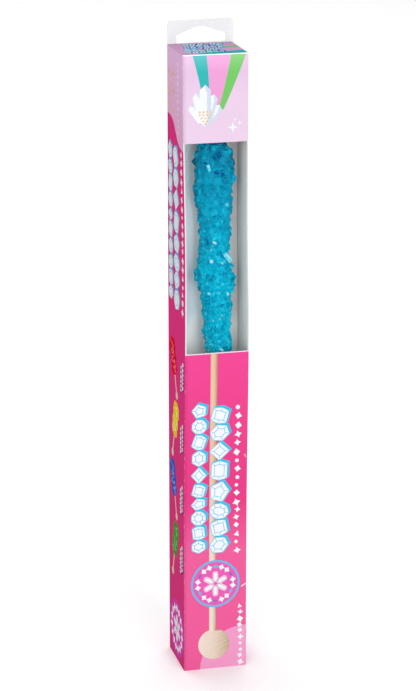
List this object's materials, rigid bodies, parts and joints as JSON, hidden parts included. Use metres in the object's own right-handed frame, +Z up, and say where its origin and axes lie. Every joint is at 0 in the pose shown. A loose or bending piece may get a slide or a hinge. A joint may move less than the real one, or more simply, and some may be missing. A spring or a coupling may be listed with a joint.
{
  "type": "rock candy stick in a hanging window carton",
  "caption": "Blue rock candy on a ball-ended wooden stick, standing in a tall square paperboard carton with a film window and a clear hang tab",
  "frame": {"origin": "middle of the carton's base, on the surface that it stands on", "axes": "+Z up along the carton, -Y out of the face with the window, +X to the right as that face is looked at"},
  "size_m": [0.0392, 0.0386, 0.3836],
  "materials": {
    "printed_board": "pink print under a satin varnish",
    "white_board": "uncoated white",
    "clear_film": "clear glossy film",
    "clear_plastic": "clear plastic, slightly milky",
    "blue_sugar": "wet-looking crystal faces",
    "birch": "turned and bare"
  },
  "bodies": {
    "root": {"carton": "printed_board", "insert": "white_board", "window_film": "clear_film", "hang_tab": "clear_plastic", "rock_candy": "blue_sugar", "stick": "birch"}
  },
  "joints": []
}
